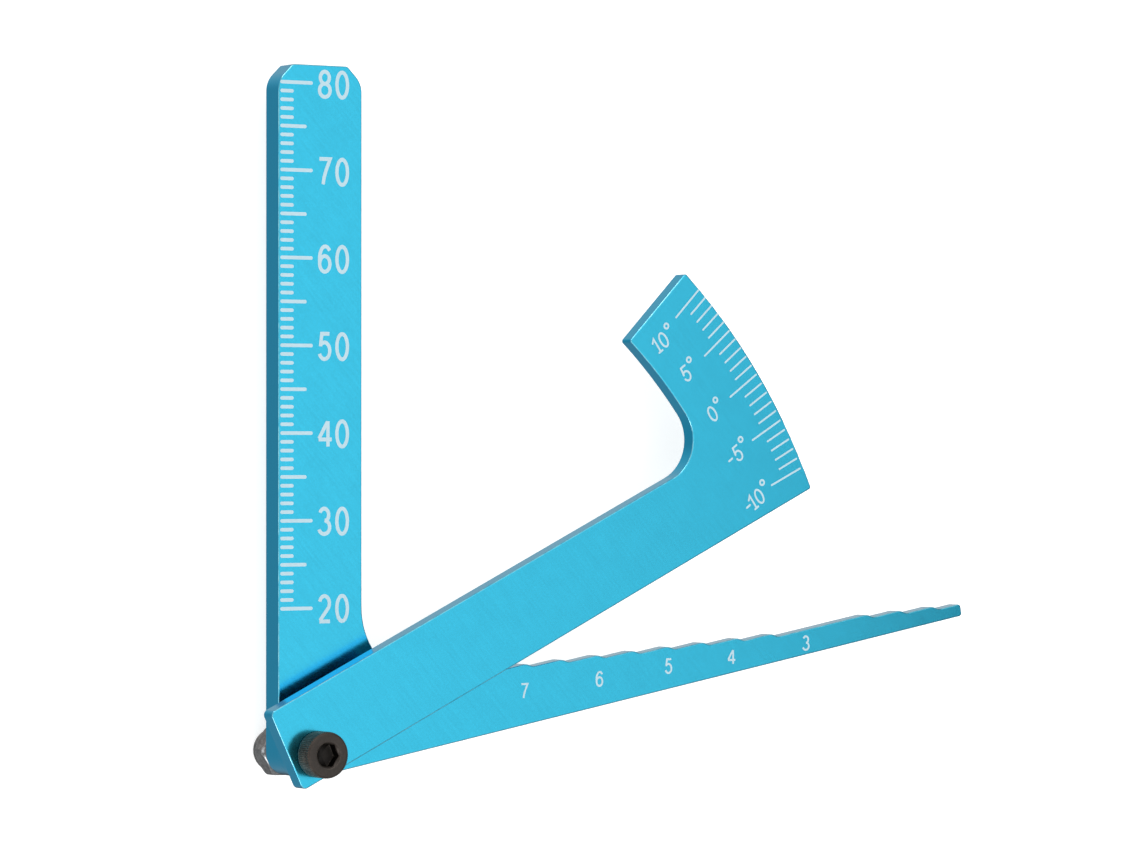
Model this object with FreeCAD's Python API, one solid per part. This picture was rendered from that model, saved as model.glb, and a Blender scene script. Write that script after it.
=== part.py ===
import FreeCAD, Part
import os
from math import acos, asin, atan2, cos, degrees, hypot, radians, sin, sqrt, tan

from FreeCAD import Vector

# A pocket set-up gauge for model cars: a height ruler, a stepped ride-height arm and a camber arm
# with a curved degree scale, stacked on one screw with a lock nut.
# Millimetres. The pivot axis is Z, the ruler runs along +Y, and z = 0 is the screw's tail end.

# --- Screw: M3 socket head cap screw ---
SCREW_R = 1.5
SCREW_LENGTH = 12.0
TAIL_CHAMFER = 0.3
HEAD_R = 2.65
HEAD_HEIGHT = 2.5
HEAD_ROUND = 0.3
HEAD_FOOT_CHAMFER = 0.15
SOCKET_FLATS = 2.5
SOCKET_DEPTH = 1.4
SOCKET_CONE = 0.45
SOCKET_LEAD_IN = 0.12
SOCKET_TURN = -6.0

# --- Lock nut with a nylon ring ---
NUT_FLATS = 5.5
NUT_HEX_HEIGHT = 2.4
NUT_CHAMFER = 0.5
COLLAR_R = 2.45
COLLAR_HEIGHT = 1.5
COLLAR_ROUND = 0.65
COLLAR_LIP = 0.2
RING_R = 2.05
RING_HEIGHT = 0.8
THREAD_CLEARANCE = 0.04
RING_CLEARANCE = 0.02

# --- The stack ---
RULER_THICK = 3.0
STEP_THICK = 2.0
CAMBER_THICK = 2.0
BLADE_GAP = 0.05
HOLE_CLEARANCE = 0.06
EDGE_BREAK = 0.16

# --- Ruler ---
RULER_TOP = 78.5
RULER_LEFT = 2.75
RULER_WIDTH = 11.0
RULER_CUT = 1.9
RULER_CUT_ROUND = 0.6
RULER_SIDE_ROUND = 2.6
FLARE_TOP = 16.4
FLARE_R = 8.5
HEEL_OUT = 3.75
HEEL_SLOPE = 30.0
HEEL_ROUND = 1.0

# --- Ride-height arm ---
STEP_ANGLE = 10.3
STEP_LENGTH = 94.2
STEP_LOW = 2.9
STEP_HEIGHTS = (7.0, 6.5, 6.0, 5.5, 5.0, 4.5, 4.0, 3.5, 3.0, 2.5, 2.0, 1.5)
STEP_FIRST = 31.0
STEP_PITCH = 5.0
STEP_LONG_AT = 3.0
STEP_LONG_EXTRA = 9.4
STEP_RUN = 1.7
STEP_SHOULDER = 5.0
STEP_TIP_ROUND = 0.4

# --- Camber arm ---
CAMBER_ANGLE = 25.7
CAMBER_LOW = 2.9
CAMBER_HIGH = 7.0
CAMBER_BACK = 3.4
CAMBER_CORNER_ROUND = 0.65
ARC_R = 75.0
HOOK_WIDTH = 11.4
HOOK_FILLET = 5.0
HOOK_SPAN = 20.0
HOOK_MARGIN = 2.7
HOOK_CORNER_ROUND = 0.35

HOLE_R = SCREW_R + HOLE_CLEARANCE

# Heights of the stacked faces, worked down from the underside of the head.
HEAD_Z = SCREW_LENGTH
CAMBER_Z = HEAD_Z - BLADE_GAP - CAMBER_THICK
STEP_Z = CAMBER_Z - BLADE_GAP - STEP_THICK
RULER_Z = STEP_Z - BLADE_GAP - RULER_THICK
NUT_TOP_Z = RULER_Z - BLADE_GAP


def at(x, y):
    """A point of a flat outline."""
    return Vector(x, y, 0)


def polar(radius, angle):
    """A point at a radius and an angle in degrees about the pivot."""
    return at(radius * cos(radians(angle)), radius * sin(radians(angle)))


def line(start, end):
    return Part.LineSegment(start, end).toShape()


def arc(start, middle, end):
    return Part.Arc(start, middle, end).toShape()


def blade(edges, thick, z, corners):
    """An outline made a plate with the pivot hole, rounded corners and broken edges.

    corners is a list of (point, radius), one for each sharp corner of the outline.
    """
    plate = Part.Face(Part.Wire(edges)).extrude(Vector(0, 0, thick))
    for point, radius in corners:
        upright = [e for e in plate.Edges if stands_at(e, point)]
        plate = plate.makeFillet(radius, upright)
    rims = [e for e in plate.Edges if abs(e.tangentAt(e.FirstParameter).z) < 1e-6]
    plate = plate.makeFillet(EDGE_BREAK, rims)
    plate = plate.cut(Part.makeCylinder(HOLE_R, thick))
    plate.translate(Vector(0, 0, z))
    return plate


def stands_at(edge, point):
    """True for a straight edge along Z whose foot is at the given point."""
    ends = [v.Point for v in edge.Vertexes]
    return len(ends) == 2 and all(hypot(p.x - point.x, p.y - point.y) < 1e-4 for p in ends)


def make_ruler():
    """Straight blade with cut corners, a round end about the pivot and a heel on its right."""
    left = -RULER_LEFT
    right = RULER_WIDTH - RULER_LEFT
    heel = right + HEEL_OUT
    sweep = acos(1 - HEEL_OUT / FLARE_R)
    flare_middle = at(right + FLARE_R * (1 - cos(sweep / 2)), FLARE_TOP - FLARE_R * sin(sweep / 2))
    heel_top = at(heel, FLARE_TOP - FLARE_R * sin(sweep))
    underside = polar(RULER_LEFT, HEEL_SLOPE - 90)
    heel_foot = at(heel, underside.y + (heel - underside.x) * tan(radians(HEEL_SLOPE)))
    cut_low_left = at(left, RULER_TOP - RULER_CUT)
    cut_top_left = at(left + RULER_CUT, RULER_TOP)
    cut_top_right = at(right - RULER_CUT, RULER_TOP)
    cut_low_right = at(right, RULER_TOP - RULER_CUT)
    edges = [
        line(at(left, 0), cut_low_left),
        line(cut_low_left, cut_top_left),
        line(cut_top_left, cut_top_right),
        line(cut_top_right, cut_low_right),
        line(cut_low_right, at(right, FLARE_TOP)),
        arc(at(right, FLARE_TOP), flare_middle, heel_top),
        line(heel_top, heel_foot),
        line(heel_foot, underside),
        arc(underside, polar(RULER_LEFT, (HEEL_SLOPE - 90 - 180) / 2), at(left, 0)),
    ]
    corners = [
        (cut_low_left, RULER_SIDE_ROUND),
        (cut_low_right, RULER_SIDE_ROUND),
        (cut_top_left, RULER_CUT_ROUND),
        (cut_top_right, RULER_CUT_ROUND),
        (heel_top, HEEL_ROUND),
        (heel_foot, HEEL_ROUND),
    ]
    return blade(edges, RULER_THICK, RULER_Z, corners)


def step_places():
    """The middle of each fall from one height to the next, along the arm."""
    places = []
    place = STEP_FIRST
    for height in STEP_HEIGHTS[1:]:
        places.append(place)
        place += STEP_PITCH + (STEP_LONG_EXTRA if height == STEP_LONG_AT else 0)
    return places


def fall(place, high, low):
    """An S of two equal arcs from one flat down to the next, tangent to both."""
    rise = (high - low) / 2
    run = STEP_RUN / 2
    radius = (run ** 2 + rise ** 2) / (2 * rise)
    half = asin(run / radius) / 2
    centre = at(place, low + rise)
    over = at(place - run + radius * sin(half), high - radius * (1 - cos(half)))
    under = at(place + run - radius * sin(half), low + radius * (1 - cos(half)))
    return [arc(at(place - run, high), over, centre), arc(centre, under, at(place + run, low))]


def make_step_arm():
    """Tapered arm: straight foot edge, flats parallel to it that step down towards the tip."""
    foot = -STEP_LOW
    flats = [foot + height for height in STEP_HEIGHTS]
    places = step_places()
    shoulder = at(STEP_FIRST - STEP_SHOULDER, flats[0])
    reach = hypot(shoulder.x, shoulder.y)
    touch = degrees(atan2(shoulder.y, shoulder.x) + acos(STEP_LOW / reach))
    round_top = polar(STEP_LOW, touch)
    tip_top = at(STEP_LENGTH, flats[-1])
    tip_foot = at(STEP_LENGTH, foot)
    edges = [
        arc(at(0, foot), polar(STEP_LOW, (touch + 270) / 2), round_top),
        line(round_top, shoulder),
        line(shoulder, at(places[0] - STEP_RUN / 2, flats[0])),
    ]
    for place, high, low in zip(places, flats, flats[1:]):
        edges += fall(place, high, low)
        following = [p for p in places if p > place]
        end = following[0] - STEP_RUN / 2 if following else STEP_LENGTH
        edges.append(line(at(place + STEP_RUN / 2, low), at(end, low)))
    edges += [line(tip_top, tip_foot), line(tip_foot, at(0, foot))]
    corners = [(tip_top, STEP_TIP_ROUND), (tip_foot, STEP_TIP_ROUND)]
    arm = blade(edges, STEP_THICK, STEP_Z, corners)
    arm.rotate(Vector(0, 0, 0), Vector(0, 0, 1), STEP_ANGLE)
    return arm


def make_camber_arm():
    """Flat bar that turns up into a hook, whose outer edge is an arc about the pivot."""
    inner_r = ARC_R - HOOK_WIDTH
    low_right = at(sqrt(ARC_R ** 2 - CAMBER_LOW ** 2), -CAMBER_LOW)
    outer_end = HOOK_SPAN + degrees(asin(HOOK_MARGIN / ARC_R))
    inner_end = HOOK_SPAN + degrees(asin(HOOK_MARGIN / inner_r))
    outer_start = -degrees(asin(CAMBER_LOW / ARC_R))
    rise = CAMBER_HIGH + HOOK_FILLET
    fillet = at(sqrt((inner_r - HOOK_FILLET) ** 2 - rise ** 2), rise)
    inner_start = degrees(atan2(fillet.y, fillet.x))
    throat = fillet + polar(HOOK_FILLET, (inner_start - 90) / 2)
    back_low = at(-CAMBER_BACK, -CAMBER_LOW)
    back_high = at(-CAMBER_BACK, CAMBER_HIGH)
    edges = [
        line(back_low, low_right),
        arc(low_right, polar(ARC_R, (outer_start + outer_end) / 2), polar(ARC_R, outer_end)),
        line(polar(ARC_R, outer_end), polar(inner_r, inner_end)),
        arc(polar(inner_r, inner_end), polar(inner_r, (inner_start + inner_end) / 2),
            polar(inner_r, inner_start)),
        arc(polar(inner_r, inner_start), throat, at(fillet.x, CAMBER_HIGH)),
        line(at(fillet.x, CAMBER_HIGH), back_high),
        line(back_high, back_low),
    ]
    corners = [
        (back_low, CAMBER_CORNER_ROUND),
        (back_high, CAMBER_CORNER_ROUND),
        (low_right, HOOK_CORNER_ROUND),
        (polar(ARC_R, outer_end), HOOK_CORNER_ROUND),
        (polar(inner_r, inner_end), HOOK_CORNER_ROUND),
    ]
    arm = blade(edges, CAMBER_THICK, CAMBER_Z, corners)
    arm.rotate(Vector(0, 0, 0), Vector(0, 0, 1), CAMBER_ANGLE)
    return arm


def turned(profile):
    """A solid of revolution about Z from a closed profile of (radius, height) points."""
    points = [Vector(r, 0, z) for r, z in profile]
    face = Part.Face(Part.makePolygon(points + points[:1]))
    return face.revolve(Vector(0, 0, 0), Vector(0, 0, 1), 360)


def hexagon(flats, height, z, turn):
    """A six-sided prism with its first corner at the angle turn."""
    corner_r = flats / sqrt(3)
    corners = [polar(corner_r, turn + 60 * i) + Vector(0, 0, z) for i in range(6)]
    return Part.Face(Part.makePolygon(corners + corners[:1])).extrude(Vector(0, 0, height))


def make_screw():
    """Socket head cap screw: plain shank at the thread's outer size, head and hex socket."""
    top = HEAD_Z + HEAD_HEIGHT
    body = turned([
        (0, 0), (SCREW_R - TAIL_CHAMFER, 0), (SCREW_R, TAIL_CHAMFER), (SCREW_R, HEAD_Z),
        (HEAD_R - HEAD_FOOT_CHAMFER, HEAD_Z), (HEAD_R, HEAD_Z + HEAD_FOOT_CHAMFER),
        (HEAD_R, top), (0, top),
    ])
    rim = [e for e in body.Edges
           if abs(e.BoundBox.ZMin - top) < 1e-6 and e.BoundBox.XMax > HEAD_R - 1e-3]
    body = body.makeFillet(HEAD_ROUND, rim)
    floor = top - SOCKET_DEPTH
    body = body.cut(hexagon(SOCKET_FLATS, SOCKET_DEPTH, floor, SOCKET_TURN))
    point = Part.makeCone(0, SOCKET_FLATS / 2, SOCKET_CONE, Vector(0, 0, floor - SOCKET_CONE))
    corner_r = SOCKET_FLATS / sqrt(3)
    lead_in = Part.makeCone(corner_r - SOCKET_LEAD_IN, corner_r, SOCKET_LEAD_IN,
                            Vector(0, 0, top - SOCKET_LEAD_IN))
    return body.cut(point).cut(lead_in)


def make_nut():
    """Hexagon with chamfered corners and a round collar that holds the nylon ring."""
    corner_r = NUT_FLATS / sqrt(3)
    hex_foot = NUT_TOP_Z - NUT_HEX_HEIGHT
    foot = hex_foot - COLLAR_HEIGHT
    hexagonal = hexagon(NUT_FLATS, NUT_HEX_HEIGHT, hex_foot, 0)
    chamfer = turned([
        (0, hex_foot), (corner_r - NUT_CHAMFER, hex_foot), (corner_r, hex_foot + NUT_CHAMFER),
        (corner_r, NUT_TOP_Z - NUT_CHAMFER), (corner_r - NUT_CHAMFER, NUT_TOP_Z), (0, NUT_TOP_Z),
    ])
    collar = Part.makeCylinder(COLLAR_R, COLLAR_HEIGHT, Vector(0, 0, foot))
    rim = [e for e in collar.Edges if abs(e.BoundBox.ZMax - foot) < 1e-6]
    collar = collar.makeFillet(COLLAR_ROUND, rim)
    nut = hexagonal.common(chamfer).fuse(collar)
    ring_z = foot + COLLAR_LIP
    nut = nut.cut(Part.makeCylinder(RING_R, RING_HEIGHT, Vector(0, 0, ring_z)))
    lip_bore = Part.makeCylinder((SCREW_R + RING_R) / 2, COLLAR_LIP, Vector(0, 0, foot))
    thread = Part.makeCylinder(SCREW_R + THREAD_CLEARANCE, NUT_TOP_Z - ring_z, Vector(0, 0, ring_z))
    return nut.cut(lip_bore).cut(thread).removeSplitter()


def make_nylon_ring():
    """Ring held in the collar, gripping the thread."""
    z = NUT_TOP_Z - NUT_HEX_HEIGHT - COLLAR_HEIGHT + COLLAR_LIP
    ring = Part.makeCylinder(RING_R, RING_HEIGHT, Vector(0, 0, z))
    return ring.cut(Part.makeCylinder(SCREW_R + RING_CLEARANCE, RING_HEIGHT, Vector(0, 0, z)))


PARTS = {
    "ruler": make_ruler,
    "step_arm": make_step_arm,
    "camber_arm": make_camber_arm,
    "cap_screw": make_screw,
    "lock_nut": make_nut,
    "nylon_ring": make_nylon_ring,
}

os.makedirs("parts", exist_ok=True)
for name, make in PARTS.items():
    shape = make()
    box = shape.BoundBox
    print(f"{name}: {len(shape.Solids)} solid, valid {shape.isValid()}, {shape.Volume:.1f} mm3, "
          f"z {box.ZMin:.2f} to {box.ZMax:.2f}")
    shape.exportStep(f"parts/{name}.step")
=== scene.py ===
# %% [markdown]
# # A set-up gauge: a ruler and two arms that swing on one screw
# The gauge is three flat blades of blue anodised aluminium, held together by a black cap
# screw and a zinc-plated lock nut. The flat blades arrive ready from the CAD model, so this
# lesson gives them their finish, engraves their scales, and builds the screw and the nut
# again with the ribs, thread and rounded edges that a CAD solid of this size leaves out.
# The first cell loads the imported model, which stays fixed.

# %% Load the gauge
import math

import bmesh
import bpy
import numpy as np
from mathutils import Matrix, Vector


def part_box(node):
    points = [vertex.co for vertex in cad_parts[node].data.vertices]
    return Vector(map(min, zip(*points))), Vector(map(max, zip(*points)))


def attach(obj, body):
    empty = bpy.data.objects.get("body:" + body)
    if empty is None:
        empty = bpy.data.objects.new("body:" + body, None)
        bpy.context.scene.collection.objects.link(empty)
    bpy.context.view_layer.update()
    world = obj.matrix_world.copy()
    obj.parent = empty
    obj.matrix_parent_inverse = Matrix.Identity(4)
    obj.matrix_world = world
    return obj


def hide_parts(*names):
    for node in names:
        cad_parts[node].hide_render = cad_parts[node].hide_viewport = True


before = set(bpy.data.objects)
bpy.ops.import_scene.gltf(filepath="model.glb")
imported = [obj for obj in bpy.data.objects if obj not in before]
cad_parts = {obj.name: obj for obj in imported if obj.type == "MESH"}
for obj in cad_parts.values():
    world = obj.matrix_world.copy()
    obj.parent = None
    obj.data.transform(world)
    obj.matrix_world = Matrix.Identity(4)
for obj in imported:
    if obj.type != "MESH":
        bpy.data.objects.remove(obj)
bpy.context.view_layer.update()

MM = 0.001

# %% [markdown]
# ## Camera
# The gauge lies on its back and the camera looks down on it from the left, from half a
# metre away with a long lens, so that the blades hardly taper. Building the camera's turn
# from two plain angles (how far it leans sideways and how far it tips) keeps the image's
# up direction along the ruler.

# %% Set up the camera
scene = bpy.context.scene
CAMERA_PLACE = (-278.4, 33.9, 496.4)
CAMERA_SIDEWAYS, CAMERA_TIP = math.radians(32.82), math.radians(0.32)
CAMERA_LENS = 155.5


def looking_down(sideways, tip):
    """The turn of a camera that looks down, leaning sideways about Y and then tipped up.
    Its right hand is (cos s, 0, sin s), it looks along (sin s cos t, sin t, -cos s cos t),
    and its up is the cross product of the two."""
    right = np.array([math.cos(sideways), 0, math.sin(sideways)])
    ahead = np.array([math.sin(sideways) * math.cos(tip), math.sin(tip),
                      -math.cos(sideways) * math.cos(tip)])
    return Matrix(np.column_stack([right, np.cross(right, ahead), -ahead]).tolist())


camera = bpy.data.objects.new("camera", bpy.data.cameras.new("camera"))
scene.collection.objects.link(camera)
camera.data.lens = CAMERA_LENS
camera.data.sensor_width = 36
camera.data.clip_start, camera.data.clip_end = 0.01, 20
camera.matrix_world = (Matrix.Translation([c * MM for c in CAMERA_PLACE])
                       @ looking_down(CAMERA_SIDEWAYS, CAMERA_TIP).to_4x4())
scene.camera = camera
print("camera is", round(camera.location.length, 3), "m from the pivot")

# %% [markdown]
# ## Shader building blocks
# A material in Blender is a small graph of nodes. Four helpers keep the graphs readable: one
# makes a node and sets its values, one starts a material with its Principled shader, and two
# start a group of nodes and put it to use in a material. A number that is the same all over
# a surface is typed straight into the shader's socket.

# %% Helpers for shader nodes


def node(tree, kind, values=(), **settings):
    """A new node of that kind in the tree. values are (socket, number or output) pairs, and
    an output is linked where a number is typed in."""
    made = tree.nodes.new(kind)
    for name, value in settings.items():
        setattr(made, name, value)
    for name, value in values:
        if isinstance(value, bpy.types.NodeSocket):
            tree.links.new(value, made.inputs[name])
        else:
            made.inputs[name].default_value = value
    return made


def new_material(name, **sockets):
    """A material whose Principled shader has the named sockets set, with an underscore for
    each space in a socket's name. Gives (material, tree, shader)."""
    material = bpy.data.materials.new(name)
    material.use_nodes = True
    shader = material.node_tree.nodes["Principled BSDF"]
    for socket, value in sockets.items():
        shader.inputs[socket.replace("_", " ")].default_value = value
    return material, material.node_tree, shader


def new_group(name, inputs, outputs):
    """An empty node group with float inputs {name: value} and outputs {name: type}. Gives
    (group, its input node, its output node)."""
    group = bpy.data.node_groups.new(name, "ShaderNodeTree")
    for label, value in inputs.items():
        socket = group.interface.new_socket(label, in_out="INPUT", socket_type="NodeSocketFloat")
        socket.default_value = value
    for label, kind in outputs.items():
        group.interface.new_socket(label, in_out="OUTPUT", socket_type=kind)
    return group, group.nodes.new("NodeGroupInput"), group.nodes.new("NodeGroupOutput")


def use_group(tree, group, **values):
    """The group placed in a material, with its own values."""
    placed = tree.nodes.new("ShaderNodeGroup")
    placed.node_tree = group
    for name, value in values.items():
        placed.inputs[name].default_value = value
    return placed


# %% [markdown]
# ## Fine grain
# Blasted and anodised aluminium has a very fine, even grain, and plated steel has one too.
# Two layers of noise, one fine and one about eight times coarser, give a height for the
# bump and a value that nudges the roughness, so that highlights break up a little instead
# of being perfectly smooth. Sheet that was sanded before it was anodised also shows faint
# slanting lines: noise stretched twenty times along one direction. It is a group because
# every finish here uses it.

# %% The grain group
COARSER = 0.12
SANDING_TURN, SANDING_STRETCH = math.radians(132), 20
grain, grain_in, grain_out = new_group(
    "fine_grain", {"Scale": 4000.0, "Coarse share": 0.35, "Sanded": 0.0},
    {"Height": "NodeSocketFloat", "Variation": "NodeSocketFloat"})
grain_point = node(grain, "ShaderNodeTexCoord").outputs["Object"]
fine = node(grain, "ShaderNodeTexNoise", [("Vector", grain_point),
                                          ("Scale", grain_in.outputs["Scale"]),
                                          ("Detail", 3.0), ("Roughness", 0.6)])
coarse_scale = node(grain, "ShaderNodeMath", [(0, grain_in.outputs["Scale"]), (1, COARSER)],
                    operation="MULTIPLY")
coarse = node(grain, "ShaderNodeTexNoise", [("Vector", grain_point),
                                            ("Scale", coarse_scale.outputs[0]),
                                            ("Detail", 2.0)])
both = node(grain, "ShaderNodeMix", [("Factor", grain_in.outputs["Coarse share"]),
                                     ("A", fine.outputs["Fac"]), ("B", coarse.outputs["Fac"])])
along_lines = node(grain, "ShaderNodeMapping", [("Vector", grain_point),
                                                ("Rotation", (0, 0, SANDING_TURN)),
                                                ("Scale", (SANDING_STRETCH, 1, 1))],
                   vector_type="TEXTURE")
sanding = node(grain, "ShaderNodeTexNoise", [("Vector", along_lines.outputs["Vector"]),
                                             ("Scale", grain_in.outputs["Scale"]),
                                             ("Detail", 2.0)])
with_lines = node(grain, "ShaderNodeMix", [("Factor", grain_in.outputs["Sanded"]),
                                           ("A", both.outputs["Result"]),
                                           ("B", sanding.outputs["Fac"])])
grain.links.new(both.outputs["Result"], grain_out.inputs["Height"])
grain.links.new(with_lines.outputs["Result"], grain_out.inputs["Variation"])
print("fine_grain group:", len(grain.nodes), "nodes")

# %% [markdown]
# ## Edge wear
# Handling polishes a part's edges first. The Bevel node works out the normal that a rounded
# edge would have, and where that differs from the true normal there is an edge. A noise
# breaks the line up, since wear is never even. The group puts out the broken line, and the
# noise's patches on their own.

# %% The edge wear group
wear, wear_in, wear_out = new_group("edge_wear", {"Reach": 0.15 * MM, "Patch scale": 900.0},
                                    {"Mask": "NodeSocketFloat", "Patches": "NodeSocketFloat"})
rounded = node(wear, "ShaderNodeBevel", [("Radius", wear_in.outputs["Reach"])], samples=4)
true_normal = node(wear, "ShaderNodeNewGeometry")
same = node(wear, "ShaderNodeVectorMath", [(0, rounded.outputs["Normal"]),
                                           (1, true_normal.outputs["Normal"])],
            operation="DOT_PRODUCT")
edge = node(wear, "ShaderNodeMapRange", [("Value", same.outputs["Value"]), ("From Min", 0.995),
                                         ("From Max", 0.85), ("To Min", 0.0), ("To Max", 1.0)])
wear_point = node(wear, "ShaderNodeTexCoord").outputs["Object"]
patches = node(wear, "ShaderNodeTexNoise", [("Vector", wear_point),
                                            ("Scale", wear_in.outputs["Patch scale"]),
                                            ("Detail", 4.0)])
patchy = node(wear, "ShaderNodeMapRange", [("Value", patches.outputs["Fac"]), ("From Min", 0.35),
                                           ("From Max", 0.6), ("To Min", 0.25), ("To Max", 1.0)])
worn = node(wear, "ShaderNodeMath", [(0, edge.outputs["Result"]), (1, patchy.outputs["Result"])],
            operation="MULTIPLY")
wear.links.new(worn.outputs[0], wear_out.inputs["Mask"])
wear.links.new(patchy.outputs["Result"], wear_out.inputs["Patches"])
print("edge_wear group:", len(wear.nodes), "nodes")

# %% [markdown]
# ## Finishes
# One function makes every finish from the two groups: a body colour that varies a little
# with the grain, a worn colour at the edges, a roughness and a bump. Sheet metal has a
# colour more, because its cut walls are smoother than its faces, and the broken edges
# between them wear first. The upward part of the normal tells them apart: in size it is 1
# on a face, 0.7 on an edge broken at 45 degrees and 0 on a wall.

# %% Mix a finish from the two groups
FACE_LEVEL, WALL_LEVEL = 0.9, 0.5
BROKEN_EDGE, BROKEN_SPREAD = 0.7, 0.2


def colour_between(tree, factor, first, second):
    """A colour that goes from first to second as factor goes from 0 to 1. Each is three
    numbers or another node's colour."""
    mix = node(tree, "ShaderNodeMix", data_type="RGBA")
    tree.links.new(factor, mix.inputs[0])
    for socket, colour in ((mix.inputs[6], first), (mix.inputs[7], second)):
        if isinstance(colour, bpy.types.NodeSocket):
            tree.links.new(colour, socket)
        else:
            socket.default_value = (*colour, 1)
    return mix.outputs[2]


def finish(name, body, worn_body, rough, rough_spread, bump, grain_scale, wear_reach,
           mottle=0.06, side_body=None, sanded=0.0, **sockets):
    """A metal or plastic finish: the colour varies by mottle with the grain and goes to
    worn_body with the edge wear, roughness is rough plus rough_spread times the grain, and
    the grain gives the bump. sanded is the share of the variation that runs in lines.
    side_body is the colour of walls that stand upright, where the cut edges of a sheet are
    smoother and look deeper than its faces. The broken edges between the two slant, and
    there the dye is thin and worn in patches."""
    material, tree, shader = new_material(name, **sockets)
    texture = use_group(tree, grain, Scale=grain_scale, Sanded=sanded)
    edges = use_group(tree, wear, Reach=wear_reach)
    spots = node(tree, "ShaderNodeMapRange", [("Value", texture.outputs["Variation"]),
                                              ("From Min", 0.35), ("From Max", 0.65)])
    colour = colour_between(tree, spots.outputs["Result"],
                            [c * (1 - mottle) for c in body], [c * (1 + mottle) for c in body])
    if side_body:
        normal = node(tree, "ShaderNodeSeparateXYZ", [
            ("Vector", node(tree, "ShaderNodeTexCoord").outputs["Normal"])])
        level = node(tree, "ShaderNodeMath", [(0, normal.outputs["Z"])], operation="ABSOLUTE")
        wall = node(tree, "ShaderNodeMapRange", [("Value", level.outputs[0]),
                                                 ("From Min", FACE_LEVEL),
                                                 ("From Max", WALL_LEVEL)])
        colour = colour_between(tree, wall.outputs["Result"], colour, side_body)
        slant = node(tree, "ShaderNodeMath", [(0, level.outputs[0]), (1, BROKEN_EDGE),
                                              (2, BROKEN_SPREAD)], operation="COMPARE")
        thin = node(tree, "ShaderNodeMath", [(0, slant.outputs[0]),
                                             (1, edges.outputs["Patches"])],
                    operation="MULTIPLY")
        colour = colour_between(tree, thin.outputs[0], colour, worn_body)
    colour = colour_between(tree, edges.outputs["Mask"], colour, worn_body)
    tree.links.new(colour, shader.inputs["Base Color"])
    gloss = node(tree, "ShaderNodeMapRange", [("Value", texture.outputs["Variation"]),
                                              ("From Min", 0.3), ("From Max", 0.7),
                                              ("To Min", rough - rough_spread),
                                              ("To Max", rough + rough_spread)])
    tree.links.new(gloss.outputs["Result"], shader.inputs["Roughness"])
    height = node(tree, "ShaderNodeBump", [("Height", texture.outputs["Height"]),
                                           ("Strength", 1.0), ("Distance", bump)])
    tree.links.new(height.outputs["Normal"], shader.inputs["Normal"])
    return material


# %% [markdown]
# ## Blue anodising
# Anodising grows a hard, clear skin on the aluminium and the dye sits inside it. So the
# metal under it is coloured and a thin clear coat lies over that: the coat adds the faint
# whiteness that the blades have where they face the light, and leaves the shaded walls a
# deep blue. The broken edges are a shade lighter, where the dye is thin.

# %% Blue anodised aluminium
blue_anodised = finish("blue_anodised", body=(0.044, 0.54, 0.76), worn_body=(0.36, 0.80, 0.92),
                       rough=0.20, rough_spread=0.03, bump=0.0014 * MM, grain_scale=3600,
                       wear_reach=0.13 * MM, mottle=0.07, side_body=(0.002, 0.50, 0.86),
                       sanded=0.35, Metallic=1.0, Coat_Weight=0.25, Coat_Roughness=0.15,
                       Coat_IOR=1.5)
for blade in ("ruler", "step_arm", "camber_arm"):
    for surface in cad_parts[blade].material_slots:
        surface.material = blue_anodised

# %% [markdown]
# ## The other finishes
# The laser burns the dye away and leaves a pale, matt, slightly chalky line, so the marks
# are not metal at all to look at. The screw is black oxide over steel: nearly black, with
# a brown cast and a soft shine that gets lighter on its ribs. The nut is bright zinc plate,
# and its locking ring is off-white nylon.

# %% The other four finishes
laser_mark = finish("laser_mark", body=(0.385, 0.53, 0.59), worn_body=(0.43, 0.57, 0.63),
                    rough=0.62, rough_spread=0.10, bump=0.002 * MM, grain_scale=9000,
                    wear_reach=0.02 * MM)
black_oxide = finish("black_oxide", body=(0.046, 0.038, 0.033), worn_body=(0.52, 0.42, 0.34),
                     rough=0.36, rough_spread=0.08, bump=0.004 * MM, grain_scale=5000,
                     wear_reach=0.14 * MM, mottle=0.18, Metallic=0.75)
zinc_plate = finish("zinc_plate", body=(0.27, 0.28, 0.29), worn_body=(0.95, 0.96, 0.97),
                    rough=0.12, rough_spread=0.05, bump=0.012 * MM, grain_scale=2600,
                    wear_reach=0.24 * MM, mottle=0.35, Metallic=1.0)
nylon = finish("nylon", body=(0.78, 0.77, 0.72), worn_body=(0.86, 0.85, 0.81),
               rough=0.45, rough_spread=0.06, bump=0.004 * MM, grain_scale=3000,
               wear_reach=0.05 * MM, Subsurface_Weight=0.15, Subsurface_Scale=0.5 * MM)
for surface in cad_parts["nylon_ring"].material_slots:
    surface.material = nylon
print("finishes:", [made.name for made in (blue_anodised, laser_mark, black_oxide,
                                           zinc_plate, nylon)])

# %% [markdown]
# ## Painted shade in the socket
# The screw's socket is painted darker than its head: this is painted shade for the blind
# hole. The painted area is found by place: near the axis, and between the bottom of the
# socket and the start of its lead-in cone.

# %% Painted shade in the socket
# Painted shade: the share of its colour that the socket keeps.
PAINTED_SHADE_LEVEL = 0.25


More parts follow.
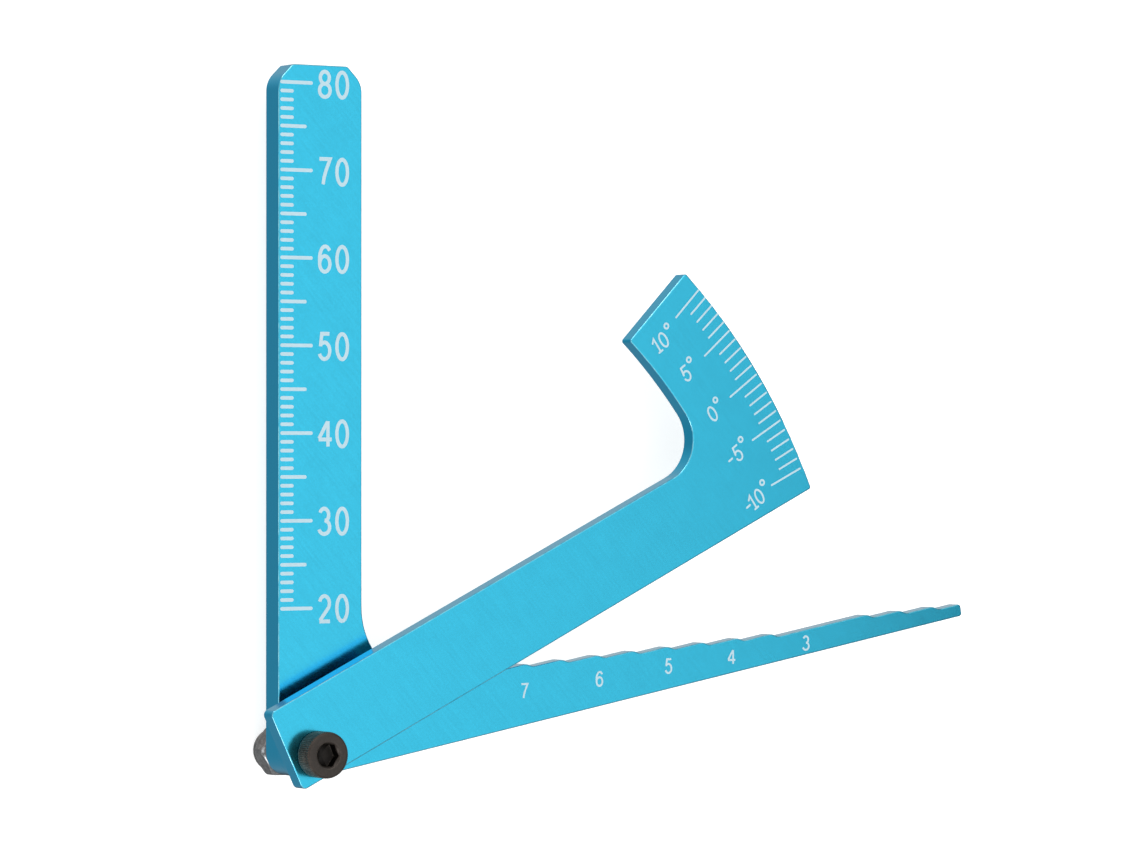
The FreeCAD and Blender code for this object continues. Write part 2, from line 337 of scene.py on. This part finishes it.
def darken_inside(material, radius, middle, reach):
    """Painted shade: takes the colour down to a set share of itself at points less than radius
    from the Z axis and within reach of the middle height. The distance is the length of (x, y,
    0)."""
    tree = material.node_tree
    base = tree.nodes["Principled BSDF"].inputs["Base Color"]
    where = node(tree, "ShaderNodeTexCoord").outputs["Object"]
    level = node(tree, "ShaderNodeVectorMath", [(0, where), (1, (1, 1, 0))], operation="MULTIPLY")
    away = node(tree, "ShaderNodeVectorMath", [(0, level.outputs["Vector"])], operation="LENGTH")
    near = node(tree, "ShaderNodeMath", [(0, away.outputs["Value"]), (1, radius)],
                operation="LESS_THAN")
    height = node(tree, "ShaderNodeSeparateXYZ", [("Vector", where)])
    deep = node(tree, "ShaderNodeMath", [(0, height.outputs["Z"]), (1, middle), (2, reach)],
                operation="COMPARE")
    inside = node(tree, "ShaderNodeMath", [(0, near.outputs[0]), (1, deep.outputs[0])],
                  operation="MULTIPLY")
    # The colour as it is, and a copy of it darkened as painted shade.
    unshaded_colour = base.links[0].from_socket
    painted_shade_colour = node(tree, "ShaderNodeVectorMath", [(0, unshaded_colour), ("Scale", PAINTED_SHADE_LEVEL)],
                 operation="SCALE")
    tree.links.new(colour_between(tree, inside.outputs[0], unshaded_colour, painted_shade_colour.outputs["Vector"]), base)


SCREW_LOW, SCREW_HIGH = (corner.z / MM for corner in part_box("cap_screw"))
SOCKET_FLATS, SOCKET_DEPTH, SOCKET_TURN = 2.5, 1.4, -6.0
SOCKET_CORNER = SOCKET_FLATS / 2 / math.cos(math.pi / 6)
LEAD_IN = 0.10
SOCKET_RIM = SOCKET_CORNER + LEAD_IN
DRILL_CONE, PAINTED_SHADE_MARGIN = 0.45, 0.15
# The painted shade reaches from a margin below the drill cone's tip up to where the lead-in cone
# starts.
painted_shade_top = SCREW_HIGH - (SOCKET_RIM - SOCKET_FLATS / 2)
painted_shade_low = SCREW_HIGH - SOCKET_DEPTH - DRILL_CONE - PAINTED_SHADE_MARGIN
darken_inside(black_oxide, SOCKET_RIM * MM, (painted_shade_top + painted_shade_low) / 2 * MM,
              (painted_shade_top - painted_shade_low) / 2 * MM)
print("socket is", round(2 * SOCKET_CORNER, 2), "mm across its corners")

# %% [markdown]
# ## From arrays to a mesh
# Every new piece is a grid of points worked out all at once. A grid becomes a mesh when
# each small patch is given the numbers of its four corners. Where a grid closes on itself
# or shrinks to a point the doubled points are merged, so the surface has no seam.

# %% Helpers for grids
MERGE_WITHIN = 0.0002


def patches_of(rows, columns, close_rows=False):
    """The corner numbers of each patch of a grid whose columns wrap round. Point (i, j) is
    number i * columns + j, and a patch runs i, i + 1 by j, j + 1."""
    i = np.arange(rows if close_rows else rows - 1)[:, None]
    j = np.arange(columns)[None, :]
    below, beside = (i + 1) % rows, (j + 1) % columns
    corners = (i * columns + j, below * columns + j, below * columns + beside,
               i * columns + beside)
    return np.stack(np.broadcast_arrays(*corners), axis=-1).reshape(-1, 4)


def new_piece(name, points, quads, material, slot, body, sharp):
    """A mesh piece from points in mm and quads. Doubled points are merged, edges that turn
    by more than sharp degrees stay crisp, and the piece rides on the body."""
    mesh = bpy.data.meshes.new(name)
    mesh.from_pydata((points * MM).tolist(), [], quads.tolist())
    work = bmesh.new()
    work.from_mesh(mesh)
    bmesh.ops.remove_doubles(work, verts=work.verts, dist=MERGE_WITHIN * MM)
    work.to_mesh(mesh)
    work.free()
    mesh.shade_smooth()
    mesh.set_sharp_from_angle(angle=math.radians(sharp))
    mesh.materials.append(material)
    piece = bpy.data.objects.new(name, mesh)
    scene.collection.objects.link(piece)
    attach(piece, body)
    print(name, len(mesh.polygons), "faces")
    return piece


# %% [markdown]
# ## Marks
# A laser draws every tick and numeral as a stroke of one width. A stroke here is a flat
# ribbon: a thin rectangle carried along the stroke's middle line, standing a hundredth of a
# millimetre proud of the face so that it catches the light. Its ends are flat or rounded.
# Rounded ends come from a few more stations whose width follows a half circle.

# %% A ribbon along a path
MARK_RISE = 0.010
MARK_SINK = 0.02
STROKE_LIFT, LIFT_LEVELS = 0.0025, 3
CAP_STEPS = 5
MITRE_LIMIT = 0.45


def stations_along(path, width, closed, round_ends):
    """Middle points, sideways directions and half widths along a stroke. At a bend the
    sideways direction is longer, by one over the cosine of half the turn, so that the
    stroke keeps its width (a mitred corner), up to a limit at the sharpest bends."""
    ahead = np.roll(path, -1, axis=0) - path if closed else np.diff(path, axis=0)
    ahead = ahead / np.linalg.norm(ahead, axis=1, keepdims=True)
    into = np.roll(ahead, 1, axis=0) if closed else np.vstack([ahead[:1], ahead])
    out_of = ahead if closed else np.vstack([ahead, ahead[-1:]])
    along = into + out_of
    along = along / np.linalg.norm(along, axis=1, keepdims=True)
    mitre = 1 / np.clip(np.sum(along * out_of, axis=1), MITRE_LIMIT, 1)
    side = np.column_stack([-along[:, 1], along[:, 0]]) * mitre[:, None]
    half = np.full(len(path), width / 2)
    if closed:
        return path, side, half
    turn = np.linspace(0, math.pi / 2, CAP_STEPS + 1)[1:] if round_ends else np.zeros(1)
    reach = (width / 2 * np.sin(turn))[:, None] if round_ends else np.zeros((1, 1))
    shrink = width / 2 * np.cos(turn) if round_ends else np.zeros(1)
    tail = path[-1] + reach * ahead[-1]
    nose = (path[0] - reach * ahead[0])[::-1]
    side = np.vstack([np.repeat(side[:1], len(turn), 0), side,
                      np.repeat(side[-1:], len(turn), 0)])
    return np.vstack([nose, path, tail]), side, np.concatenate([shrink[::-1], half, shrink])


def ribbon(path, width, closed, round_ends):
    """A stroke's points and quads: at each station the four corners of a thin rectangle,
    middle -/+ half width sideways, MARK_RISE above the face and MARK_SINK below it."""
    middle, side, half = stations_along(path, width, closed, round_ends)
    left, right = middle + side * half[:, None], middle - side * half[:, None]
    low, high = np.full(len(middle), -MARK_SINK), np.full(len(middle), MARK_RISE)
    corners = np.stack([np.column_stack([left, low]), np.column_stack([right, low]),
                        np.column_stack([right, high]), np.column_stack([left, high])], axis=1)
    return corners.reshape(-1, 3), patches_of(len(middle), 4, close_rows=closed)


def turned(shape, degrees):
    """A shape, which is a list of (path, closed), turned about zero by that many degrees."""
    c, s = math.cos(math.radians(degrees)), math.sin(math.radians(degrees))
    spin = np.array([[c, s], [-s, c]])
    return [(path @ spin, closed) for path, closed in shape]


def drawn(shape, width, round_ends):
    """The strokes of a shape, all of one width and with one kind of end."""
    return [(path, closed, width, round_ends) for path, closed in shape]


def engrave(name, strokes, body, face):
    """One piece holding every stroke on a blade's front face. strokes are (path, closed,
    width, round ends), with paths in mm in the plane of the face. Neighbouring strokes end
    at slightly different heights, so that where two cross their tops don't coincide."""
    points, quads, count = [], [], 0
    for order, (path, closed, width, round_ends) in enumerate(strokes):
        new_points, new_quads = ribbon(path, width, closed, round_ends)
        lift = np.where(new_points[:, 2] > 0, order % LIFT_LEVELS * STROKE_LIFT, 0)
        points.append(new_points + (0, 0, face) + lift[:, None] * (0, 0, 1))
        quads.append(new_quads + count)
        count += len(new_points)
    new_piece(name, np.vstack(points), np.vstack(quads), laser_mark, "laser_mark", body,
              sharp=20)


# %% [markdown]
# ## Numerals
# The numerals are plain upright ones. Each is a few lines and parts of ellipses in a box
# one unit high, which is how a plotter or a laser's own font stores them. An ellipse is
# centre plus (rx cos t, ry sin t) as t runs from one angle to another.

# %% Draw the numerals
DIGIT_WIDTH = 0.56
OVAL_STEPS = 28


def oval(x, y, rx, ry, start=0, end=360):
    """Part of an ellipse from one angle to another. Widths are in parts of a digit's."""
    t = np.radians(np.linspace(start, end, OVAL_STEPS, endpoint=abs(end - start) < 360))
    return np.column_stack([(x + rx * np.cos(t)) * DIGIT_WIDTH, y + ry * np.sin(t)])


def lines(*corners):
    """Straight lines through these corners, with widths in parts of a digit's."""
    return np.array(corners, float) * (DIGIT_WIDTH, 1)


def chain(*paths):
    """One stroke through several paths, end to end."""
    return np.vstack(paths)


# A stroke that turns back sharply would overlap itself, so a sharp corner starts a new one.
DIGITS = {
    "0": [(oval(0.5, 0.5, 0.5, 0.5), True)],
    "1": [(lines((0.14, 0.78), (0.58, 1.0), (0.58, 0.04)), False),
          (lines((0.30, 0.0), (0.90, 0.0)), False)],
    "2": [(chain(oval(0.48, 0.71, 0.46, 0.29, 165, -38), lines((0.06, 0.04))), False),
          (lines((0.0, 0.0), (1.0, 0.0)), False)],
    "3": [(oval(0.45, 0.75, 0.42, 0.25, 158, -82), False),
          (oval(0.45, 0.27, 0.52, 0.27, 86, -160), False)],
    "4": [(lines((0.8, 0.0), (0.8, 1.0)), False), (lines((0.76, 0.98), (-0.04, 0.31)), False),
          (lines((-0.08, 0.28), (1.16, 0.28)), False)],
    "5": [(lines((0.94, 1.0), (0.22, 1.0), (0.10, 0.5)), False),
          (oval(0.47, 0.33, 0.5, 0.33, 138, -158), False)],
    "6": [(oval(0.5, 0.31, 0.48, 0.31), True),
          (oval(0.55, 0.5, 0.54, 0.5, 42, 196), False)],
    "7": [(lines((0.0, 1.0), (1.0, 1.0), (0.66, 0.6), (0.44, 0.28), (0.34, 0.0)), False)],
    "8": [(oval(0.5, 0.76, 0.42, 0.24), True), (oval(0.5, 0.26, 0.5, 0.26), True)],
}


def number(text, centre, height, width, pitch=0.0):
    """The shape of a number. The last digit's centre is at centre, and pitch is the step
    from digit to digit. height and width are a digit's middle lines."""
    shape = []
    for index, digit in enumerate(reversed(text)):
        shape += [((path - (DIGIT_WIDTH / 2, 0.5)) * (width / DIGIT_WIDTH, height)
                   - (index * pitch, 0) + centre, closed) for path, closed in DIGITS[digit]]
    return shape


print("numerals drawn:", " ".join(DIGITS))

# %% [markdown]
# ## The ruler's scale
# The ruler's left edge carries a tick every millimetre from 20 to 80, longer at the fives
# and longer still at the tens, with the tens numbered. Zero lies 3.6 mm below the pivot.

# %% Engrave the ruler
RULER_ZERO = -3.6
TICK_INSET = 0.22
TEN_TICK, FIVE_TICK, ONE_TICK = 4.25, 3.45, 1.75
TICK_STROKE, NUMBER_STROKE = 0.41, 0.44
NUMBER_X, NUMBER_DROP = 5.6, 0.08


def ruler_ticks():
    """A level stroke for each millimetre, longer at the fives and the tens. Its round ends
    are half a stroke beyond the ends of its middle line."""
    marks = np.arange(20, 81)
    lengths = np.where(marks % 10 == 0, TEN_TICK, np.where(marks % 5 == 0, FIVE_TICK, ONE_TICK))
    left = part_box("ruler")[0].x / MM + TICK_INSET + TICK_STROKE / 2
    return [(np.array([[left, y], [left + reach - TICK_STROKE, y]]), False, TICK_STROKE, True)
            for y, reach in zip(marks + RULER_ZERO, lengths)]


ruler_numbers = []
for ten in range(20, 81, 10):
    digits = number(str(ten), (NUMBER_X, ten + RULER_ZERO - NUMBER_DROP), height=2.9,
                    width=1.4, pitch=2.3)
    ruler_numbers += drawn(digits, NUMBER_STROKE, round_ends=False)
engrave("ruler_scale", ruler_ticks() + ruler_numbers, "ruler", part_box("ruler")[1].z / MM)

# %% [markdown]
# ## The camber arm's scale
# The hook's arc has a tick for each degree from -10 to 10 about the pivot. The labels at
# every fifth all read the same way, along the middle tick, with a small ring for degrees.
# A label's place is its last digit's, given in that turned direction.

# %% Engrave the camber arm
CAMBER_MIDDLE = 35.7
ONE_FROM, FIVE_FROM, TICKS_TO = 71.85, 70.0, 74.65
SCALE_DRIFT = 0.02
CAMBER_STROKE, LABEL_STROKE = 0.22, 0.24
LABEL_PLACES = {"10": (66.1, 11.05), "5": (66.4, 5.96), "0": (66.72, -0.15),
                "-5": (66.95, -6.1), "-10": (66.49, -12.14)}
DEGREE_RING, DEGREE_RING_R = (1.29, 1.10), 0.3
MINUS_SHIFT, MINUS_DROP, MINUS_HALF = {1: 1.29, 2: 1.99}, 0.05, 0.28


def camber_ticks():
    """A stroke along the radius at each degree, longer at the fives. The scale is printed a
    little off centre, so it drifts outwards from one tick to the next and meets the edge
    only at the plus end."""
    strokes = []
    for mark in range(-10, 11):
        angle = math.radians(CAMBER_MIDDLE + mark)
        start = FIVE_FROM if mark % 5 == 0 else ONE_FROM
        radii = np.array([[start], [TICKS_TO]]) + SCALE_DRIFT * mark
        strokes.append((radii * (math.cos(angle), math.sin(angle)), False, CAMBER_STROKE, True))
    return strokes


def camber_label(text):
    """Digits, degree ring and minus sign, turned to read along the middle tick."""
    digits = text.lstrip("-")
    centre = np.array(LABEL_PLACES[text])
    shape = number(digits, centre, height=1.8, width=0.95, pitch=1.2)
    turn = np.linspace(0, 2 * math.pi, 16, endpoint=False)
    ring = DEGREE_RING_R * np.column_stack([np.cos(turn), np.sin(turn)])
    shape.append((centre + DEGREE_RING + ring, True))
    if text.startswith("-"):
        minus = np.array([[-MINUS_HALF, 0.0], [MINUS_HALF, 0.0]])
        shape.append((centre - (MINUS_SHIFT[len(digits)], MINUS_DROP) + minus, False))
    return drawn(turned(shape, CAMBER_MIDDLE), LABEL_STROKE, round_ends=True)


camber_strokes = camber_ticks()
for text in LABEL_PLACES:
    camber_strokes += camber_label(text)
engrave("camber_scale", camber_strokes, "camber_arm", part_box("camber_arm")[1].z / MM)

# %% [markdown]
# ## The step arm's numbers
# Under every other step the arm is marked with the step's height in whole millimetres. The
# numbers stand upright when the arm is folded out beside the ruler.

# %% Engrave the step arm
STEP_ANGLE = 10.3
STEP_STROKE = 0.24
STEP_NUMBERS = {"7": (29.7, 1.03), "6": (40.2, 0.3), "5": (50.1, -0.2), "4": (59.2, -0.95),
                "3": (70.3, -1.5)}


def along_step_arm(u, v):
    """A point u along the arm and v across it, turned into the gauge's frame."""
    c, s = math.cos(math.radians(STEP_ANGLE)), math.sin(math.radians(STEP_ANGLE))
    return np.array([u * c - v * s, u * s + v * c])


step_strokes = []
for text, middle in STEP_NUMBERS.items():
    digit = number(text, along_step_arm(*middle), height=1.64, width=0.85)
    step_strokes += drawn(digit, STEP_STROKE, round_ends=False)
engrave("step_numbers", step_strokes, "step_arm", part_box("step_arm")[1].z / MM)

# %% [markdown]
# ## The screw
# The screw is one closed surface: a profile that starts in the middle of the socket, goes
# out over the head, in under it, and down the thread to the tip, carried once round the
# axis. Three things depend on the angle as well: the socket's six flats, the ribs on the
# head's side and the helix of the thread, so each is a function of angle and height.

# %% Helpers for turned shapes
RIBS, STEPS_PER_RIB = 72, 6
ANGLES = np.linspace(0, 2 * math.pi, RIBS * STEPS_PER_RIB, endpoint=False)
SOFT_FROM = 0.95


def hexagon_radius(flats, turn, soften=0.0):
    """Distance from the axis to a hexagon with that many mm across its flats, at each
    angle: half the flats over the cosine of the angle from the nearest flat's middle.
    Softening rounds the corners by easing the largest radii down."""
    from_flat = (ANGLES - math.radians(turn) + math.pi / 6) % (math.pi / 3) - math.pi / 6
    radius = flats / 2 / np.cos(from_flat)
    corner = flats / 2 / math.cos(math.pi / 6)
    return radius - soften * np.clip((radius / corner - SOFT_FROM) / (1 - SOFT_FROM), 0, 1) ** 2


def row(radius, height):
    """One ring of the grid: a radius and a height, each a number or one value per angle."""
    radius, height = np.broadcast_to(radius, ANGLES.shape), np.broadcast_to(height, ANGLES.shape)
    return np.column_stack([radius * np.cos(ANGLES), radius * np.sin(ANGLES), height])


def turned_piece(name, rows, material, slot, body, **how):
    """A closed piece from rings listed from the inside of the top, out, down and back in."""
    return new_piece(name, np.vstack(rows), patches_of(len(rows), len(ANGLES)),
                     material, slot, body, **how)


# %% [markdown]
# ### The head
# The innermost rings are the socket's: the drill's cone, the six walls and the lead-in cone.
# Then come the flat top, its rounded rim, the ribbed side and the flat underside.

# %% The head's rings
HEAD_R, HEAD_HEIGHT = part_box("cap_screw")[1].x / MM, 2.5
HEAD_UNDER = SCREW_HIGH - HEAD_HEIGHT
HEAD_ROUND, HEAD_FOOT = 0.3, 0.15
RIB_DEPTH, RIB_FADE = 0.11, 0.12
TOP_FROM, UNDER_MIDDLE = 1.75, 2.0
FOOT_EASE, LIP_EASE = 0.04, 0.02
RIM_IN, RIM_DROP, RIM_OUT = 0.01, 0.012, 0.03
THREAD_R = 1.5


def socket_rows():
    """From the drill point up: a cone to the flats, the six walls, and the lead-in cone that
    cuts deeper where the wall is nearer the axis."""
    wall = hexagon_radius(SOCKET_FLATS, SOCKET_TURN + 30)
    bottom = SCREW_HIGH - SOCKET_DEPTH
    lip = SCREW_HIGH - (SOCKET_RIM - wall)
    cone = [row(wall * share, bottom - DRILL_CONE * (1 - share)) for share in (0, 0.6)]
    walls = [row(wall, bottom + (lip - bottom) * share) for share in (0.3, 0.6, 0.97)]
    return [*cone, row(wall - FOOT_EASE, bottom), row(wall, bottom + FOOT_EASE), *walls,
            row(wall + LIP_EASE, lip + LIP_EASE), row(SOCKET_RIM - RIM_IN, SCREW_HIGH - RIM_DROP),
            row(SOCKET_RIM + RIM_OUT, SCREW_HIGH)]


def rib_shape(height):
    """How far the head's side stands in at each angle: a raised cosine to the power 1.5, so
    that the grooves are narrower than the ribs, fading out at the top round and the foot
    chamfer."""
    groove = (0.5 - 0.5 * np.cos(ANGLES * RIBS)) ** 1.5
    low, high = HEAD_UNDER + HEAD_FOOT, SCREW_HIGH - HEAD_ROUND
    ease = np.clip(min(height - low, high - height) / RIB_FADE + 0.5, 0, 1)
    return RIB_DEPTH * groove * ease


def head_rows():
    """The flat top, a quarter circle over its rim, the ribbed side, the foot chamfer and
    the flat underside."""
    bend = np.radians(np.linspace(90, 0, 7))
    centre_r, centre_z = HEAD_R - HEAD_ROUND, SCREW_HIGH - HEAD_ROUND
    rows = [row(r, SCREW_HIGH) for r in np.linspace(TOP_FROM, centre_r, 4)[:-1]]
    rows += [row(centre_r + HEAD_ROUND * math.cos(b) - rib_shape(centre_z) * math.cos(b) ** 2,
                 centre_z + HEAD_ROUND * math.sin(b)) for b in bend]
    rows += [row(HEAD_R - rib_shape(z), z)
             for z in np.linspace(centre_z, HEAD_UNDER + HEAD_FOOT, 12)[1:]]
    return rows + [row(r, HEAD_UNDER) for r in (HEAD_R - HEAD_FOOT, UNDER_MIDDLE, THREAD_R)]


# %% [markdown]
# ### The thread
# A thread is cut by moving each point of a ring in or out. How far depends on how much of
# one pitch its height and its turn make together. A chamfer at the tail cuts the last turn
# short.

# %% The thread's rings
THREAD_PITCH, THREAD_DEPTH, RINGS_PER_PITCH = 0.5, 0.27, 6
VEE_STRETCH, VEE_CUT = 1.35, 0.12
TAIL_CHAMFER = 0.3
THREAD_START = HEAD_UNDER - 0.05


def thread_radius(height):
    """Radius at each angle for that height: the thread's V, with its flat crest and root
    cut off, follows height minus pitch times the share of a turn."""
    share = (height / THREAD_PITCH - ANGLES / (2 * math.pi)) % 1
    vee = np.clip(VEE_STRETCH * (1 - np.abs(2 * share - 1)) - VEE_CUT, 0, 1)
    tail = np.clip(THREAD_R - (TAIL_CHAMFER - (height - SCREW_LOW)), 0, THREAD_R)
    return np.minimum(THREAD_R - THREAD_DEPTH * (1 - vee), tail)


def thread_rows():
    """Rings every sixth of a pitch down to the tip, then the flat end closed to the axis."""
    heights = np.arange(THREAD_START, SCREW_LOW, -THREAD_PITCH / RINGS_PER_PITCH)
    rows = [row(thread_radius(z), z) for z in heights]
    return rows + [row(thread_radius(SCREW_LOW), SCREW_LOW), row(0, SCREW_LOW)]


screw = turned_piece("socket_cap_screw", socket_rows() + head_rows() + thread_rows(),
                     black_oxide, "black_oxide", "screw", sharp=35)
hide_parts("cap_screw")

# %% [markdown]
# ## The lock nut
# The nut is a hexagon with both ends chamfered by a cone, which leaves the curved lines on
# its flats, and a round collar rolled in over the nylon ring. It is made like the screw, in
# rings, from the bearing face outwards, down the flats and in round the collar, and its
# inside closes the surface.

# %% The nut's rings
NUT_LOW, NUT_HIGH = (corner.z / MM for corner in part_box("lock_nut"))
NUT_FLATS, NUT_CHAMFER_R, NUT_SOFTENING = 5.5, 2.6, 0.12
EDGE_IN, EDGE_OUT = 0.03, 0.012
FACE_IN, FACE_DROP = 0.05, 0.01
COLLAR_R, COLLAR_HEIGHT, COLLAR_FOOT = 2.45, 1.5, 0.06
COLLAR_IN, COLLAR_DOME = 0.55, 0.8
NUT_BORE, BORE_CHAMFER = 1.54, 0.2
RING_LOW, RING_HIGH = (corner.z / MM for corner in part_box("nylon_ring"))
RING_GAP, RING_SEAT_R, SEAT_CHAMFER, LIP_R = 0.02, 2.07, 0.15, 1.86


def nut_rows():
    """Bearing face, cone, flats with softened corners, cone, collar with its rolled edge,
    then the ring's seat and the bore. Both cones fall as much as they widen."""
    flat = hexagon_radius(NUT_FLATS, 30, soften=NUT_SOFTENING)
    drop = np.clip(flat - NUT_CHAMFER_R, 0, None)
    shelf = NUT_LOW + COLLAR_HEIGHT
    top, bottom = NUT_HIGH - drop, shelf + drop
    rows = [row(NUT_BORE, NUT_HIGH - BORE_CHAMFER), row(NUT_BORE + BORE_CHAMFER, NUT_HIGH),
            row(NUT_CHAMFER_R - FACE_IN, NUT_HIGH), row(NUT_CHAMFER_R, NUT_HIGH - FACE_DROP)]
    rows += [row(flat - EDGE_IN, top + EDGE_OUT), row(flat, top - EDGE_IN)]
    rows += [row(flat, top + (bottom - top) * share) for share in (0.25, 0.5, 0.75)]
    rows += [row(flat, bottom + EDGE_IN), row(flat - EDGE_IN, bottom - EDGE_OUT)]
    rows += [row(NUT_CHAMFER_R, shelf), row(COLLAR_R + COLLAR_FOOT, shelf),
             row(COLLAR_R, shelf - COLLAR_FOOT)]
    bend = np.radians(np.linspace(0, 80, 9))
    rows += [row(COLLAR_R - COLLAR_IN * (1 - math.cos(b)),
                 NUT_LOW + COLLAR_DOME * (1 - math.sin(b))) for b in bend]
    seat_low, seat_high = RING_LOW - RING_GAP, RING_HIGH + RING_GAP
    return rows + [row(LIP_R, NUT_LOW), row(LIP_R, seat_low), row(RING_SEAT_R, seat_low),
                   row(RING_SEAT_R, seat_high), row(NUT_BORE + SEAT_CHAMFER, seat_high),
                   row(NUT_BORE, seat_high + SEAT_CHAMFER),
                   row(NUT_BORE, NUT_HIGH - BORE_CHAMFER)]


nut = turned_piece("hex_lock_nut", nut_rows(), zinc_plate, "zinc_plate", "nut", sharp=40)
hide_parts("lock_nut")

# %% [markdown]
# ## Floor
# A plain white floor lies a tenth of a millimetre under zero height, so that it touches
# nothing. Reflections don't see it, which keeps it from whitening the blades' walls.

# %% The floor
FLOOR_HALF, FLOOR_DROP = 4.0, 0.0001
floor_mesh = bpy.data.meshes.new("floor")
floor_mesh.from_pydata([(x * FLOOR_HALF, y * FLOOR_HALF, -FLOOR_DROP)
                        for x, y in ((-1, -1), (1, -1), (1, 1), (-1, 1))],
                       [], [(0, 1, 2, 3)])
floor = bpy.data.objects.new("floor", floor_mesh)
scene.collection.objects.link(floor)
white_floor, _, floor_shader = new_material(
    "white_floor", Base_Color=(0.6, 0.6, 0.6, 1), Roughness=0.9)
floor_shader.inputs["Emission Color"].default_value = (1, 1, 1, 1)
floor_shader.inputs["Emission Strength"].default_value = 0.7
floor_mesh.materials.append(white_floor)
floor.visible_glossy = False

# %% [markdown]
# ## Panels
# One large soft panel hangs to the right, where the blades' faces mirror it, and ends just
# beyond the step arm, which darkens the arm's tip. A wide overhead panel lights the floor
# and the matt marks, and no polished surface sees it. Three small ones, beyond the top of
# the ruler, at the lower left and, weaker, at the left, put a thin line along the broken
# edges that mirror them.

# %% The lights
SMALL_PANEL = (0.36, 0.36)


def panel(name, place, size, radiance, in_reflections, facing=(0, 0, -1)):
    """A soft panel. Its power is radiance times its area times pi, so that its brightness in
    a mirror doesn't depend on its size. Where in_reflections is False only matt surfaces
    see it, and otherwise only polished ones do."""
    light = bpy.data.lights.new(name, "AREA")
    light.shape = "RECTANGLE"
    light.size, light.size_y = size
    light.energy = radiance * size[0] * size[1] * math.pi
    made = bpy.data.objects.new(name, light)
    scene.collection.objects.link(made)
    made.location = place
    made.rotation_mode = "QUATERNION"
    made.rotation_quaternion = Vector(facing).to_track_quat("-Z", "Y")
    made.visible_camera = False
    made.visible_glossy = in_reflections
    made.visible_diffuse = not in_reflections


panel("mirror_panel", (0.215, 0.05, 0.50), (0.50, 0.90), 0.80, True)
panel("floor_panel", (0.0, 0.0, 1.2), (2.4, 2.4), 1.6, False)
for label, spot, radiance in (("top_panel", (-0.37, 0.90, 0.44), 3.2),
                              ("low_panel", (-0.66, -0.52, 0.52), 3.2),
                              ("left_panel", (-0.90, 0.05, 0.60), 1.0)):
    panel(label, spot, SMALL_PANEL, radiance, True, facing=[-c for c in spot])

# %% [markdown]
# ## Room
# Polished metal also mirrors the room, which is described by direction: X, Y and Z are the
# parts of a direction one unit long. Below eye level the room is a mid grey. Up the ruler
# and to the right it is pale and slightly warm, so walls that face up the ruler look pale,
# and the rest of the right is darker. Above eye level it is lighter near the horizon than
# overhead, and dim and bluish behind the large panel. The camera sees plain white instead.

# %% The room
WARM, COOL = (1, 0.88, 0.80), (0.3, 0.75, 1)
world = bpy.data.worlds.new("room")
scene.world = world
world.use_nodes = True
room = world.node_tree
room.nodes.clear()


def ramp(value, start, end, low, high):
    """low up to start, high from end, and a straight line between."""
    return node(room, "ShaderNodeMapRange", [("Value", value), ("From Min", start),
                                             ("From Max", end), ("To Min", low),
                                             ("To Max", high)]).outputs["Result"]


def combine(operation, first, second):
    """first and second combined by that operation."""
    return node(room, "ShaderNodeMath", [(0, first), (1, second)], operation=operation).outputs[0]


way = node(room, "ShaderNodeSeparateXYZ", [
    ("Vector", node(room, "ShaderNodeTexCoord").outputs["Generated"])])
X, Y, Z = (way.outputs[axis] for axis in "XYZ")
to_right = combine("MULTIPLY", ramp(X, -0.1, 0.45, 0, 1), ramp(Y, 0.02, 0.2, 0, 1))
pale = combine("MAXIMUM", to_right, ramp(Y, 0.15, 0.6, 0, 0.8))
pale = combine("MULTIPLY", pale, ramp(X, 0.62, 0.85, 1, 0.2))
dark = combine("MULTIPLY", ramp(X, 0.1, 0.4, 0, 1), ramp(Y, 0.02, 0.2, 0.28, 0))
below = combine("SUBTRACT", ramp(pale, 0, 1, 0.36, 0.72), dark)
far_right = combine("MULTIPLY", ramp(X, 0.35, 0.62, 0, 1), ramp(Z, 0.4, 0.65, 0, 1))
above = combine("SUBTRACT", ramp(Z, 0.2, 0.6, 0.75, 0.5), ramp(far_right, 0, 1, 0, 0.45))
light = node(room, "ShaderNodeMix", [("Factor", ramp(Z, -0.25, 0.25, 0, 1)),
                                     ("A", below), ("B", above)])
warm = colour_between(room, combine("MULTIPLY", pale, ramp(Z, -0.1, 0.2, 1, 0)),
                      (1, 1, 1), WARM)
tint = colour_between(room, far_right, warm, COOL)
seen_in_metal = node(room, "ShaderNodeBackground", [("Color", tint),
                                                    ("Strength", light.outputs["Result"])])
seen_behind = node(room, "ShaderNodeBackground", [("Color", (1, 1, 1, 1)), ("Strength", 1.0)])
pick = node(room, "ShaderNodeMixShader", [
    (0, node(room, "ShaderNodeLightPath").outputs["Is Camera Ray"]),
    (1, seen_in_metal.outputs[0]), (2, seen_behind.outputs[0])])
node(room, "ShaderNodeOutputWorld", [("Surface", pick.outputs[0])])
scene.view_settings.view_transform = "Standard"
print("room:", len(room.nodes), "nodes")
